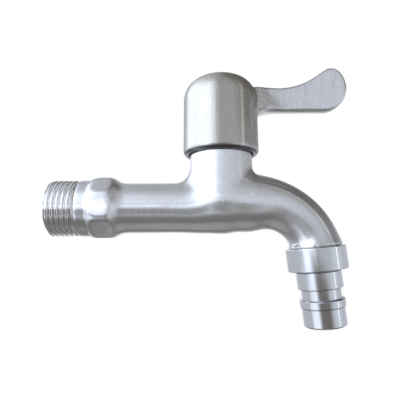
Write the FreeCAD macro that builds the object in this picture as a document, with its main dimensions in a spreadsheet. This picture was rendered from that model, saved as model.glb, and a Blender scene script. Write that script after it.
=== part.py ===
import FreeCAD, Part
import math
import os

import Sketcher

# Washing machine tap: a quarter-turn bib tap with a half inch inlet thread,
# a cast stainless body, a dome-and-lever handle and a turned hose nozzle.
# Millimetres, +Z up. The origin is on the inlet axis, where the face of the
# wall fitting comes when the thread is screwed home. +X points off the wall.

SIZES = {
    # Inlet thread, shoulder and spanner flats, all along X
    "thread_engagement": 8.2,
    "inlet_thread_radius": 10.48,
    "thread_beyond_wall": 1.8,
    "runout_run": 1.0,
    "runout_depth": 0.45,
    "thread_lead": 0.75,
    "shoulder_radius": 10.56,
    "shoulder_run": 4.7,
    "flats_across": 22.5,
    "flats_corner_rise": 0.65,
    "flats_lead_run": 2.6,
    "flats_run": 4.6,
    "flats_fade_slope": 38.0,
    "flats_fade_radius": 6.0,
    "pipe_radius": 9.41,
    "inlet_bore_radius": 6.75,
    # Neck, seat and valve chamber, on the handle axis
    "handle_reach": 55.5,
    "neck_radius": 11.87,
    "belly_height": 2.0,
    "neck_top": 26.0,
    "pipe_blend": 6.0,
    "spout_blend": 3.0,
    "seat_height": 7.6,
    "port_radius": 4.75,
    "chamber_clearance": 1.4,
    "chamber_step": 0.5,
    "neck_thread_run": 8.0,
    "weir_wall": 2.9,
    # Swan neck: a level run, a wide bend and a tighter one
    "spout_run": 13.1,
    "wide_bend": 22.95,
    "wide_bend_angle": 60.0,
    "tight_bend": 13.1,
    "nozzle_tilt": 5.58,
    "spout_start_radius": 11.45,
    "spout_root_radius": 10.64,
    "spout_waist_radius": 9.0,
    "spout_waist_angle": 52.0,
    "spout_end_radius": 10.24,
    "spout_wall": 2.5,
    "spout_inlet_drop": 2.2,
    # Joint of spout and nozzle, along the nozzle axis
    "spout_thread_step": 1.24,
    "spout_thread_run": 5.2,
    "spout_thread_wall": 1.8,
    "thread_clearance": 0.05,
    "collar_gap": 0.3,
    "collar_step": 0.82,
    "collar_run": 8.2,
    "collar_edge": 0.35,
    "gasket_thickness": 1.5,
    "nozzle_gasket_width": 2.8,
    "relief_radius": 7.9,
    "relief_run": 0.7,
    "step_radius": 8.25,
    "step_run": 6.0,
    "groove_radius": 7.21,
    "groove_run": 4.0,
    "bead_radius": 8.22,
    "bead_run": 2.7,
    "tip_radius": 7.73,
    "tip_run": 6.9,
    "nozzle_edge": 0.3,
    "nozzle_lead": 0.45,
    "nozzle_bore_radius": 5.7,
    # Cartridge housing
    "housing_foot_gap": 1.0,
    "housing_wall": 1.1,
    "housing_bore_radius": 7.0,
    "thread_relief": 0.8,
    "barrel_run": 4.4,
    "rib_width": 1.5,
    "neck_gasket_thickness": 0.8,
    "flange_inset": 0.47,
    "housing_flange_run": 1.0,
    "hex_across": 19.0,
    "hex_run": 3.2,
    "bonnet_radius": 6.9,
    "bonnet_run": 2.6,
    "window_run": 4.2,
    "window_angle": 70.0,
    "ear_width": 3.0,
    "ear_inset": 0.2,
    "stop_gap_angle": 0.6,
    # Ceramic discs and seal
    "seal_height": 2.6,
    "seal_width": 1.4,
    "disc_clearance": 0.15,
    "disc_thickness": 3.0,
    "port_inner_radius": 2.1,
    "port_inset": 0.3,
    "port_angle": 70.0,
    "disc_lobe_angle": 84.0,
    "disc_hub_radius": 2.0,
    "key_width": 2.6,
    "key_depth": 1.2,
    "key_clearance": 0.05,
    # Spindle
    "spindle_radius": 4.4,
    "spindle_clearance": 0.05,
    "foot_clearance": 0.3,
    "spindle_foot_run": 2.8,
    "barrel_clearance": 0.2,
    "stop_lug_angle": 90.0,
    "handle_turn": 90.0,
    "lug_run": 3.6,
    "rib_gap": 0.2,
    "glide_thickness": 0.8,
    "ring_groove_depth": 1.3,
    "ring_groove_run": 1.6,
    "ring_gap": 0.045,
    "ring_pitch": 3.4,
    "ring_first_rise": 2.2,
    "clip_thickness": 0.8,
    "clip_radius": 6.0,
    "clip_groove_depth": 1.0,
    "clip_mouth": 4.6,
    "spline_step": 0.5,
    "spline_depth": 0.45,
    "stem_rise": 1.4,
    "spline_run": 8.6,
    "screw_radius": 1.95,
    "screw_bite": 7.0,
    # Handle
    "skirt_flare": 0.25,
    "skirt_overlap": 6.1,
    "skirt_lip": 1.7,
    "skirt_clearance": 0.58,
    "hexagon_headroom": 0.8,
    "skirt_wall": 1.75,
    "dome_corner": 8.8,
    "dome_crown": 36.0,
    "cap_headroom": 0.4,
    "bonnet_clearance": 0.7,
    "bonnet_headroom": 1.8,
    "insert_wall": 1.9,
    "insert_clearance": 0.05,
    "insert_headroom": 0.6,
    "screw_web": 2.0,
    "washer_rim": 0.1,
    "screw_head_radius": 3.5,
    "screw_head_height": 2.2,
    "washer_thickness": 0.7,
    "screw_hole_radius": 2.15,
    "cap_margin": 0.85,
    "cap_ledge": 0.4,
    "cap_clearance": 0.05,
    "cap_thickness": 1.5,
    "lever_thickness": 4.4,
    "lever_edge": 1.2,
    "lever_drop": 13.8,
    "lever_waist_depth": 9.5,
    "lever_hollow_radius": 26.0,
    "lever_root_depth": 10.4,
    "lever_run": 25.5,
    "lever_tip_radius": 9.8,
    "lever_nose_radius": 4.5,
    "lever_nose_angle": 39.4,
    "lever_slope": 34.75,
    "lever_sink": 5.7,
    "lever_root_foot_width": 9.2,
    "lever_root_top_width": 4.6,
    "lever_root_run": 15.8,
    "lever_root_inset": 1.0,
    "lever_underside_blend": 3.0,
    "lever_underside_spread": 30.0,
}

OUTPUT = "parts"
ON_AXIS = "0"


def cell(name):
    """Expression for one size of the sheet."""
    return "Sizes." + name


def make_sheet(doc):
    sheet = doc.addObject("Spreadsheet::Sheet", "Sizes")
    for row, (name, value) in enumerate(SIZES.items(), start=1):
        sheet.set(f"A{row}", name)
        sheet.set(f"B{row}", str(value))
        sheet.setAlias(f"B{row}", name)
    doc.recompute()
    return sheet


def number(owner, text):
    """Present value of an expression."""
    found = owner.evalExpression(text)
    return float(getattr(found, "Value", found))


def new_body(doc, label):
    body = doc.addObject("PartDesign::Body", label)
    body.Label = label
    return body


def stand_on_handle_axis(body):
    body.setExpression("Placement.Base.x", cell("handle_reach"))


def new_sketch(body, role, name, shift=None, turn=None):
    """Sketch on an origin plane. shift is three expressions in the plane's own
    directions, turn an expression for an angle about its first direction."""
    plane = next(f for f in body.Origin.OriginFeatures if f.Role == role)
    sketch = body.newObject("Sketcher::SketchObject", name)
    sketch.AttachmentSupport = [(plane, "")]
    sketch.MapMode = "FlatFace"
    if turn:
        spin = FreeCAD.Rotation(FreeCAD.Vector(1, 0, 0), number(body, turn))
        sketch.AttachmentOffset = FreeCAD.Placement(FreeCAD.Vector(), spin)
        sketch.setExpression("AttachmentOffset.Rotation.Angle", turn)
    if shift:
        for axis, text in zip("xyz", shift):
            sketch.setExpression(f"AttachmentOffset.Base.{axis}", text)
    return sketch


def pin_point(sketch, shape, end, corner):
    for kind, text in zip(("DistanceX", "DistanceY"), corner):
        value = number(sketch, text)
        index = sketch.addConstraint(Sketcher.Constraint(kind, -1, 1, shape, end, value))
        sketch.setExpression(f"Constraints[{index}]", text)


def arc_between(start, stop, radius, left):
    """Arc of under a half turn from start to stop, its centre on the left or right."""
    chord = stop.sub(start)
    middle = start.add(stop).multiply(0.5)
    rise = math.sqrt(max(radius ** 2 - (chord.Length / 2) ** 2, 0.0))
    normal = FreeCAD.Vector(-chord.y, chord.x, 0).normalize()
    centre = middle.add(normal.multiply(rise if left else -rise))
    first, last = (start, stop) if left else (stop, start)
    angles = [math.atan2(p.y - centre.y, p.x - centre.x) for p in (first, last)]
    circle = Part.Circle(centre, FreeCAD.Vector(0, 0, 1), radius)
    return Part.ArcOfCircle(circle, angles[0], angles[1])


def draw_outline(sketch, corners, arcs=None):
    """Closed outline through corners, each a pair of expressions. arcs maps the
    number of an edge to (radius expression, centre is on the left)."""
    arcs = arcs or {}
    points = [FreeCAD.Vector(number(sketch, x), number(sketch, y), 0) for x, y in corners]
    count = len(corners)
    for i, start in enumerate(points):
        stop = points[(i + 1) % count]
        if i in arcs:
            radius, left = arcs[i]
            curve = arc_between(start, stop, number(sketch, radius), left)
            edge = sketch.addGeometry(curve, False)
            index = sketch.addConstraint(
                Sketcher.Constraint("Radius", edge, number(sketch, radius)))
            sketch.setExpression(f"Constraints[{index}]", radius)
        else:
            edge = sketch.addGeometry(Part.LineSegment(start, stop), False)
    for i in range(count):
        before = (i - 1) % count
        here = 2 if i in arcs and not arcs[i][1] else 1
        there = 1 if before in arcs and not arcs[before][1] else 2
        sketch.addConstraint(Sketcher.Constraint("Coincident", before, there, i, here))
        pin_point(sketch, i, here, corners[i])
    return sketch


def draw_circle(sketch, radius, centre=(ON_AXIS, ON_AXIS)):
    middle = FreeCAD.Vector(number(sketch, centre[0]), number(sketch, centre[1]), 0)
    size = number(sketch, radius)
    circle = Part.Circle(middle, FreeCAD.Vector(0, 0, 1), size)
    edge = sketch.addGeometry(circle, False)
    index = sketch.addConstraint(Sketcher.Constraint("Radius", edge, size))
    sketch.setExpression(f"Constraints[{index}]", radius)
    pin_point(sketch, edge, 3, centre)
    return sketch


def turned(body, kind, name, corners, axis="V_Axis", arcs=None, shift=None,
           role="XZ_Plane"):
    """Full turn of an outline drawn in an upright plane, added or cut away."""
    sketch = new_sketch(body, role, name + "_outline", shift)
    draw_outline(sketch, corners, arcs)
    feature = body.newObject("PartDesign::" + kind, name)
    feature.Profile = sketch
    feature.ReferenceAxis = (sketch, [axis])
    feature.Angle = 360
    return feature


def pushed(body, kind, name, sketch, length, along_normal=True, both_ways=False):
    """Pad or pocket of a sketch by a length expression."""
    feature = body.newObject("PartDesign::" + kind, name)
    feature.Profile = sketch
    feature.SideType = "Symmetric" if both_ways else "One side"
    feature.Reversed = along_normal if kind == "Pocket" else not along_normal
    feature.setExpression("Length", length)
    return feature


def lofted(body, kind, name, sections):
    feature = body.newObject("PartDesign::" + kind, name)
    feature.Profile = sections[0]
    feature.Sections = sections[1:]
    feature.Ruled = False
    return feature


def edges_where(shape, test):
    return [f"Edge{i}" for i, edge in enumerate(shape.Edges, start=1) if test(edge)]


def rounded(body, kind, name, base, test, size):
    """Fillet or chamfer on the edges of base that pass a test."""
    body.Document.recompute()
    feature = body.newObject("PartDesign::" + kind, name)
    feature.Base = (base, edges_where(base.Shape, test))
    feature.setExpression("Radius" if kind == "Fillet" else "Size", size)
    return feature


def sector(inner, outer, middle, spread):
    """Corners and arcs of a ring sector: expressions for its radii, the angle of
    its middle and its whole spread, in degrees."""
    low = f"({middle} - ({spread}) / 2)"
    high = f"({middle} + ({spread}) / 2)"
    centre = f"({middle})"
    corners = []
    for radius, angles in ((outer, (low, centre, high)), (inner, (high, centre, low))):
        corners += [(f"{radius} * cos({a})", f"{radius} * sin({a})") for a in angles]
    arcs = {0: (outer, True), 1: (outer, True), 3: (inner, False), 4: (inner, False)}
    return corners, arcs


# Places worked out from the sizes

THREAD_END = cell("thread_beyond_wall")
SHOULDER_START = f"({THREAD_END} + {cell('runout_run')})"
FLATS_START = f"({SHOULDER_START} + {cell('shoulder_run')})"
FLATS_FULL = f"({FLATS_START} + {cell('flats_lead_run')})"
FLATS_END = f"({FLATS_FULL} + {cell('flats_run')})"
FLATS_CORNER = f"({cell('flats_across')} / 2 + {cell('flats_corner_rise')})"
TURN_ANGLE = f"(90 - {cell('nozzle_tilt')})"
SPOUT_THREAD = f"({cell('spout_end_radius')} - {cell('spout_thread_step')})"
COLLAR_RADIUS = f"({cell('spout_end_radius')} + {cell('collar_step')})"
GASKET_FOOT_RUN = f"({cell('spout_thread_run')} + {cell('gasket_thickness')})"

HOUSING_RADIUS = f"({cell('housing_bore_radius')} + {cell('housing_wall')})"
CHAMBER_RADIUS = f"({HOUSING_RADIUS} + {cell('chamber_clearance')})"
NECK_THREAD = f"({CHAMBER_RADIUS} + {cell('chamber_step')})"
FLANGE_RADIUS = f"({cell('neck_radius')} - {cell('flange_inset')})"
HOUSING_THREAD_RUN = f"({cell('neck_thread_run')} - {cell('thread_relief')})"
GASKET_TOP = f"({cell('neck_top')} + {cell('neck_gasket_thickness')})"
FLANGE_TOP = f"({GASKET_TOP} + {cell('housing_flange_run')})"
HEX_TOP = f"({FLANGE_TOP} + {cell('hex_run')})"
BONNET_TOP = f"({HEX_TOP} + {cell('bonnet_run')})"

DISC_RADIUS = f"({cell('housing_bore_radius')} - {cell('disc_clearance')})"
EAR_RADIUS = f"({HOUSING_RADIUS} - {cell('ear_inset')})"
SEAL_BORE = f"({cell('housing_bore_radius')} - {cell('seal_width')})"
PORT_OUTER = f"({SEAL_BORE} - {cell('port_inset')})"
DISC_FOOT = f"({cell('seat_height')} + {cell('seal_height')})"
DISC_MEET = f"({DISC_FOOT} + {cell('disc_thickness')})"
DISC_TOP = f"({DISC_MEET} + {cell('disc_thickness')})"

FOOT_RADIUS = f"({cell('housing_bore_radius')} - {cell('foot_clearance')})"
FOOT_TOP = f"({DISC_TOP} + {cell('spindle_foot_run')})"
RIB_RADIUS = f"({cell('housing_bore_radius')} - {cell('rib_width')})"
BARREL_RADIUS = f"({RIB_RADIUS} - {cell('barrel_clearance')})"
GLIDE_FOOT = f"({FOOT_TOP} + {cell('barrel_run')})"
SHOULDER = f"({GLIDE_FOOT} + {cell('glide_thickness')})"
FIRST_RING = f"({SHOULDER} + {cell('ring_first_rise')})"
RING_GROOVE = f"({cell('spindle_radius')} - {cell('ring_groove_depth')})"
RING_THICKNESS = (f"({cell('ring_groove_depth')} + {cell('spindle_clearance')}"
                  f" - 2 * {cell('ring_gap')})")
CLIP_GROOVE = f"({cell('spindle_radius')} - {cell('clip_groove_depth')})"
SPLINE_RADIUS = f"({cell('spindle_radius')} - {cell('spline_step')})"
SPLINE_START = f"({BONNET_TOP} + {cell('stem_rise')})"
SPINDLE_TOP = f"({SPLINE_START} + {cell('spline_run')})"

SKIRT_BORE = f"({cell('neck_radius')} + {cell('skirt_clearance')})"
DOME_RADIUS = f"({SKIRT_BORE} + {cell('skirt_wall')})"
SKIRT_RADIUS = f"({DOME_RADIUS} + {cell('skirt_flare')})"
SKIRT_BOTTOM = f"({cell('neck_top')} - {cell('skirt_overlap')})"
SKIRT_ROOF = f"({HEX_TOP} + {cell('hexagon_headroom')})"
BONNET_ROOM = f"({cell('bonnet_radius')} + {cell('bonnet_clearance')})"
BONNET_ROOF = f"({BONNET_TOP} + {cell('bonnet_headroom')})"
INSERT_RADIUS = f"({SPLINE_RADIUS} + {cell('insert_wall')})"
INSERT_TOP = f"({SPINDLE_TOP} + {cell('insert_headroom')})"
WEB_TOP = f"({INSERT_TOP} + {cell('screw_web')})"
WASHER_RADIUS = f"({cell('screw_head_radius')} + {cell('washer_rim')})"
WASHER_TOP = f"({WEB_TOP} + {cell('washer_thickness')})"
HEAD_TOP = f"({WASHER_TOP} + {cell('screw_head_height')})"
CAP_RADIUS = f"({WASHER_RADIUS} + {cell('cap_margin')})"
CAP_FOOT = f"({HEAD_TOP} + {cell('cap_headroom')})"
DOME_TOP = f"({CAP_FOOT} + {cell('cap_thickness')})"
LEVER_BOTTOM = f"({DOME_TOP} - {cell('lever_drop')})"
LEVER_WAIST = f"({LEVER_BOTTOM} + {cell('lever_waist_depth')})"
LEVER_ROOT_TOP = f"({LEVER_BOTTOM} + {cell('lever_root_depth')})"
LEVER_START = f"({DOME_RADIUS} - {cell('lever_sink')})"
LEVER_REACH = f"({DOME_RADIUS} + {cell('lever_run')})"
LEVER_ROOT_END = f"({DOME_RADIUS} + {cell('lever_root_run')})"


def bend_place(theta):
    """Centre of the swan neck where it has turned down by theta degrees."""
    wide, tight = cell("wide_bend"), cell("tight_bend")
    switch = cell("wide_bend_angle")
    start_x = f"{cell('handle_reach')} + {cell('spout_run')}"
    first = f"min({theta}; {switch})"
    rest = f"max({theta}; {switch})"
    x = (f"({start_x} + {wide} * sin({first})"
         f" + {tight} * (sin({rest}) - sin({switch})))")
    z = (f"({cell('belly_height')} - {wide} * (1 - cos({first}))"
         f" - {tight} * (cos({switch}) - cos({rest})))")
    return x, z


def bend_radius(theta):
    """Outside radius of the swan neck there: slim at the waist, full at the ends."""
    waist, turn = cell("spout_waist_radius"), cell("spout_waist_angle")
    before = f"max({turn} - {theta}; 0) / {turn}"
    after = f"max({theta} - {turn}; 0) / ({TURN_ANGLE} - {turn})"
    return (f"({waist} + ({cell('spout_root_radius')} - {waist}) * ({before}) ^ 2.6"
            f" + ({cell('spout_end_radius')} - {waist}) * ({after}) ^ 3)")


def bend_stations():
    """Angles of the swan neck's sections, evenly spread over its whole turn."""
    steps = 7
    return [f"({TURN_ANGLE} * {i} / {steps})" for i in range(steps + 1)]


def section(body, name, x, z, heading, radius):
    sketch = new_sketch(body, "YZ_Plane", name, (ON_AXIS, z, x), heading)
    return draw_circle(sketch, radius)


def on_nozzle_axis(run):
    """Point a run below the spout's end, along the nozzle axis."""
    x, z = bend_place(TURN_ANGLE)
    return f"({x} + {run} * cos({TURN_ANGLE}))", f"({z} - {run} * sin({TURN_ANGLE}))"


def add_inlet(body):
    """Thread, shoulder and octagonal spanner flats, turned with the pipe."""
    lead, slope = cell("thread_lead"), cell("flats_fade_slope")
    face = f"-{cell('thread_engagement')}"
    thread, shoulder = cell("inlet_thread_radius"), cell("shoulder_radius")
    sunk = cell("runout_depth")
    flat, corner = f"({cell('flats_across')} / 2)", FLATS_CORNER
    pipe, cove = cell("pipe_radius"), cell("flats_fade_radius")
    cove_rise = f"{cove} * (1 - cos({slope}))"
    ramp_run = f"({corner} - {pipe} - {cove_rise}) / tan({slope})"
    cove_start = f"({FLATS_END} + {ramp_run})"
    corners = [
        (face, ON_AXIS),
        (face, f"{thread} - {lead}"),
        (f"{face} + {lead}", thread),
        (THREAD_END, thread),
        (f"{THREAD_END} + {sunk}", f"{thread} - {sunk}"),
        (SHOULDER_START, f"{thread} - {sunk}"),
        (SHOULDER_START, shoulder),
        (FLATS_START, shoulder),
        (FLATS_START, flat),
        (FLATS_FULL, corner),
        (FLATS_END, corner),
        (cove_start, f"{pipe} + {cove_rise}"),
        (f"{cove_start} + {cove} * sin({slope})", pipe),
        (cell("handle_reach"), pipe),
        (cell("handle_reach"), ON_AXIS),
    ]
    turned(body, "Revolution", "inlet", corners, "H_Axis", {11: (cove, True)})
    ring = new_sketch(body, "YZ_Plane", "flats_outline", (ON_AXIS, ON_AXIS, FLATS_START))
    draw_circle(ring, f"{corner} + 2")
    eighth = 45
    reach = f"{flat} / cos({eighth / 2})"
    first = ring.GeometryCount
    places = [(k + 0.5) * eighth for k in range(8)]
    corners = [(f"{reach} * cos({a})", f"{reach} * sin({a})") for a in places]
    add_ring_polygon(ring, corners, first)
    flats_run = f"{FLATS_END} + {ramp_run} - {FLATS_START}"
    return pushed(body, "Pocket", "flats", ring, flats_run)


def add_ring_polygon(sketch, corners, first):
    """Straight-sided outline beside the shapes already in a sketch."""
    points = [FreeCAD.Vector(number(sketch, x), number(sketch, y), 0) for x, y in corners]
    count = len(points)
    for i, start in enumerate(points):
        sketch.addGeometry(Part.LineSegment(start, points[(i + 1) % count]), False)
    for i in range(count):
        before = first + (i - 1) % count
        sketch.addConstraint(Sketcher.Constraint("Coincident", before, 2, first + i, 1))
        pin_point(sketch, first + i, 1, corners[i])


def add_neck(body):
    radius, low = cell("neck_radius"), cell("belly_height")
    corners = [
        (ON_AXIS, f"{low} - {radius}"),
        (radius, low),
        (radius, cell("neck_top")),
        (ON_AXIS, cell("neck_top")),
    ]
    return turned(body, "Revolution", "neck", corners, "V_Axis", {0: (radius, True)},
                  (cell("handle_reach"), ON_AXIS, ON_AXIS))


def add_swan_neck(body):
    reach, low = cell("handle_reach"), cell("belly_height")
    start, root = cell("spout_start_radius"), cell("spout_root_radius")
    run = cell("spout_run")
    stations = [
        (f"{reach} + {run} * 0.1", low, "0", start),
        (f"{reach} + {run} * 0.55", low, "0", f"({start} + {root}) / 2"),
    ]
    for theta in bend_stations():
        x, z = bend_place(theta)
        stations.append((x, z, theta, bend_radius(theta)))
    sections = [section(body, f"spout_section_{i}", *place)
                for i, place in enumerate(stations, start=1)]
    return lofted(body, "AdditiveLoft", "swan_neck", sections)


def blend_edges(body, base, name, low, high, size):
    """Round the joint curve that lies between two distances from the handle axis."""
    axis = number(body, cell("handle_reach"))
    ceiling = number(body, cell("neck_top")) - 1.0

    def on_joint(edge):
        box = edge.BoundBox
        inside = axis + low < box.XMin and box.XMax < axis + high
        return inside and box.ZMax < ceiling and edge.Length > 1.0
    return rounded(body, "Fillet", name, base, on_joint, size)


def add_spout_thread(body):
    x, z = on_nozzle_axis("0")
    sketch = new_sketch(body, "YZ_Plane", "spout_thread_circle", (ON_AXIS, z, x), TURN_ANGLE)
    draw_circle(sketch, SPOUT_THREAD)
    return pushed(body, "Pad", "spout_thread", sketch, cell("spout_thread_run"))


def cut_waterways(body):
    """Inlet bore, seat port, valve chamber and the spout's way out."""
    reach, bore = cell("handle_reach"), cell("inlet_bore_radius")
    port, seat = cell("port_radius"), cell("seat_height")
    face = f"-{cell('thread_engagement')} - 1"
    round_start = f"({reach} + {port} - {bore})"
    corners = [
        (face, ON_AXIS),
        (face, bore),
        (round_start, bore),
        (f"{round_start} + {bore}", ON_AXIS),
    ]
    turned(body, "Groove", "inlet_bore", corners, "H_Axis", {2: (bore, False)})
    chamber, thread = CHAMBER_RADIUS, NECK_THREAD
    top = f"({cell('neck_top')} + 1)"
    thread_foot = f"({cell('neck_top')} - {cell('neck_thread_run')})"
    corners = [
        (ON_AXIS, ON_AXIS),
        (port, ON_AXIS),
        (port, seat),
        (chamber, seat),
        (chamber, thread_foot),
        (thread, thread_foot),
        (thread, top),
        (ON_AXIS, top),
    ]
    turned(body, "Groove", "valve_chamber", corners, "V_Axis", None,
           (reach, ON_AXIS, ON_AXIS))
    wall = cell("spout_wall")
    start_x = f"({reach} + {port} + {cell('weir_wall')})"
    level = f"({cell('belly_height')} + {cell('spout_inlet_drop')})"
    mouth = f"({cell('spout_root_radius')} - {wall} - {cell('spout_inlet_drop')} + 0.5)"
    stations = [
        (start_x, level, "0", f"{mouth} * 0.6"),
        (f"{start_x} + 1.6", level, "0", f"{mouth} * 0.93"),
        (f"{start_x} + 4.2", f"{level} - 0.4", "0", f"{mouth} + 0.15"),
    ]
    thetas = bend_stations()
    for theta in thetas[1:-1]:
        x, z = bend_place(theta)
        stations.append((x, z, theta, f"{bend_radius(theta)} - {wall}"))
    end_bore = f"({SPOUT_THREAD} - {cell('spout_thread_wall')})"
    x, z = on_nozzle_axis("0")
    stations.append((x, z, TURN_ANGLE, end_bore))
    sections = [section(body, f"waterway_section_{i}", *place)
                for i, place in enumerate(stations, start=1)]
    lofted(body, "SubtractiveLoft", "waterway", sections)
    sketch = new_sketch(body, "YZ_Plane", "spout_bore_circle", (ON_AXIS, z, x), TURN_ANGLE)
    draw_circle(sketch, end_bore)
    return pushed(body, "Pocket", "spout_bore", sketch, f"{cell('spout_thread_run')} + 1")


def make_tap_body(doc):
    body = new_body(doc, "tap_body")
    add_inlet(body)
    neck = add_neck(body)
    pipe_joint = -number(body, cell("neck_radius")) - 0.5
    blend = blend_edges(body, neck, "pipe_blend", pipe_joint, -1.0, cell("pipe_blend"))
    spout = add_swan_neck(body)
    blend_edges(body, spout, "spout_blend", 0.0, -pipe_joint, cell("spout_blend"))
    add_spout_thread(body)
    cut_waterways(body)
    return body


def hang_on_nozzle_axis(body):
    """Own origin at the spout's end, own Z up the nozzle axis."""
    x, z = on_nozzle_axis("0")
    turn = FreeCAD.Rotation(FreeCAD.Vector(0, -1, 0), number(body, cell("nozzle_tilt")))
    body.Placement = FreeCAD.Placement(FreeCAD.Vector(), turn)
    body.setExpression("Placement.Base.x", x)
    body.setExpression("Placement.Base.z", z)
    body.setExpression("Placement.Rotation.Angle", cell("nozzle_tilt"))


def make_hose_nozzle(doc):
    """Collar, threaded socket and stepped hose spigot. Its own origin is at the
    spout's end, its own Z runs up the nozzle axis."""
    body = new_body(doc, "hose_nozzle")
    hang_on_nozzle_axis(body)
    socket = f"({SPOUT_THREAD} + {cell('thread_clearance')})"
    collar, edge = COLLAR_RADIUS, cell("collar_edge")
    relief, step = cell("relief_radius"), cell("step_radius")
    groove, bead, tip = cell("groove_radius"), cell("bead_radius"), cell("tip_radius")
    round_edge, bore = cell("nozzle_edge"), cell("nozzle_bore_radius")
    lead = cell("nozzle_lead")
    collar_top = f"-{cell('collar_gap')}"
    collar_foot = f"({collar_top} - {cell('collar_run')})"
    step_top = f"({collar_foot} - {cell('relief_run')})"
    step_foot = f"({step_top} - {cell('step_run')})"
    bead_top = f"({step_foot} - {cell('groove_run')})"
    bead_foot = f"({bead_top} - {cell('bead_run')})"
    end = f"({bead_foot} - {cell('tip_run')})"
    corners = [
        (socket, collar_top),
        (f"{collar} - {edge}", collar_top),
        (collar, f"{collar_top} - {edge}"),
        (collar, f"{collar_foot} + {edge}"),
        (f"{collar} - {edge}", collar_foot),
        (relief, collar_foot),
        (relief, step_top),
        (f"{step} - {round_edge}", step_top),
        (step, f"{step_top} - {round_edge}"),
        (step, f"{step_foot} + {round_edge}"),
        (f"{step} - {round_edge}", step_foot),
        (groove, step_foot),
        (groove, bead_top),
        (f"{bead} - {round_edge}", bead_top),
        (bead, f"{bead_top} - {round_edge}"),
        (bead, f"{bead_foot} + {round_edge}"),
        (f"{bead} - {round_edge}", bead_foot),
        (tip, bead_foot),
        (tip, f"{end} + 2 * {lead}"),
        (f"{tip} - {lead}", end),
        (bore, end),
        (bore, f"-{GASKET_FOOT_RUN}"),
        (socket, f"-{GASKET_FOOT_RUN}"),
    ]
    rounds = {i: (round_edge, False) for i in (7, 9, 13, 15)}
    turned(body, "Revolution", "nozzle", corners, "V_Axis", rounds)
    return body


def make_nozzle_gasket(doc):
    body = new_body(doc, "nozzle_gasket")
    hang_on_nozzle_axis(body)
    outer = f"({SPOUT_THREAD} - {cell('collar_gap')} / 2)"
    inner = f"({outer} - {cell('nozzle_gasket_width')})"
    add_ring(body, "gasket", inner, outer, f"-{GASKET_FOOT_RUN}",
             f"-{cell('spout_thread_run')}")
    return body


def add_ring(body, name, inner, outer, foot, top):
    corners = [(inner, foot), (outer, foot), (outer, top), (inner, top)]
    return turned(body, "Revolution", name, corners)


def ring_body(doc, label, inner, outer, foot, top):
    body = new_body(doc, label)
    stand_on_handle_axis(body)
    add_ring(body, label + "_ring", inner, outer, foot, top)
    return body


def cut_sector(body, name, inner, outer, middle, spread, foot, run):
    sketch = new_sketch(body, "XY_Plane", name + "_outline", (ON_AXIS, ON_AXIS, foot))
    corners, arcs = sector(inner, outer, middle, spread)
    draw_outline(sketch, corners, arcs)
    return pushed(body, "Pocket", name, sketch, run)


def add_sector(body, name, inner, outer, middle, spread, foot, run):
    sketch = new_sketch(body, "XY_Plane", name + "_outline", (ON_AXIS, ON_AXIS, foot))
    corners, arcs = sector(inner, outer, middle, spread)
    draw_outline(sketch, corners, arcs)
    return pushed(body, "Pad", name, sketch, run)


def add_bar(body, kind, name, half_x, half_y, foot, run):
    """Upright block on the body's own axis, added or cut."""
    sketch = new_sketch(body, "XY_Plane", name + "_outline", (ON_AXIS, ON_AXIS, foot))
    corners = [(f"-({half_x})", f"-({half_y})"), (half_x, f"-({half_y})"),
               (half_x, half_y), (f"-({half_x})", half_y)]
    draw_outline(sketch, corners)
    return pushed(body, kind, name, sketch, run)


def make_housing_gasket(doc):
    inner = f"({NECK_THREAD} + 2 * {cell('thread_clearance')})"
    return ring_body(doc, "housing_gasket", inner, FLANGE_RADIUS,
                     cell("neck_top"), GASKET_TOP)


def make_seat_seal(doc):
    return ring_body(doc, "seat_seal", SEAL_BORE,
                     f"({DISC_RADIUS} + {cell('key_clearance')})",
                     cell("seat_height"), DISC_FOOT)


def make_cartridge_housing(doc):
    """Screwed into the neck: two windows, ear slots, stop rib, hexagon, bonnet."""
    body = new_body(doc, "cartridge_housing")
    stand_on_handle_axis(body)
    foot = f"({cell('seat_height')} + {cell('housing_foot_gap')})"
    wall, bore = HOUSING_RADIUS, cell("housing_bore_radius")
    thread = f"({NECK_THREAD} - {cell('thread_clearance')})"
    thread_foot = f"({cell('neck_top')} - {HOUSING_THREAD_RUN})"
    hex_corner = f"({cell('hex_across')} / 2 / cos(30) - 0.35)"
    stem = f"({cell('spindle_radius')} + {cell('spindle_clearance')})"
    corners = [
        (bore, foot),
        (wall, foot),
        (wall, f"{thread_foot} - ({thread} - {wall}) / 2"),
        (thread, thread_foot),
        (thread, GASKET_TOP),
        (FLANGE_RADIUS, GASKET_TOP),
        (FLANGE_RADIUS, FLANGE_TOP),
        (hex_corner, FLANGE_TOP),
        (hex_corner, HEX_TOP),
        (cell("bonnet_radius"), HEX_TOP),
        (cell("bonnet_radius"), f"{BONNET_TOP} - 0.4"),
        (f"{cell('bonnet_radius')} - 0.4", BONNET_TOP),
        (stem, BONNET_TOP),
        (stem, SHOULDER),
        (bore, SHOULDER),
    ]
    turned(body, "Revolution", "housing", corners)
    cut_hexagon(body)
    shoulder = SHOULDER
    rib_foot = f"({FOOT_TOP} + {cell('rib_gap')})"
    turn, lug = cell("handle_turn"), cell("stop_lug_angle")
    gap = cell("stop_gap_angle")
    add_sector(body, "stop_rib", RIB_RADIUS, f"({bore} + 0.3)",
               f"(180 + {turn} / 2)", f"(360 - {turn} - {lug} - {gap})",
               rib_foot, f"{shoulder} - {rib_foot} + 0.2")
    for number_of, middle in enumerate(("90", "270"), start=1):
        cut_sector(body, f"window_{number_of}", f"({bore} - 0.6)", f"({wall} + 0.6)",
                   middle, cell("window_angle"), DISC_MEET, cell("window_run"))
    slot_half = f"({cell('ear_width')} / 2 + {cell('key_clearance')})"
    add_bar(body, "Pocket", "ear_slots", f"{wall} + 1", slot_half, foot,
            f"{DISC_MEET} + {cell('key_clearance')} - {foot}")
    return body


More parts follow.
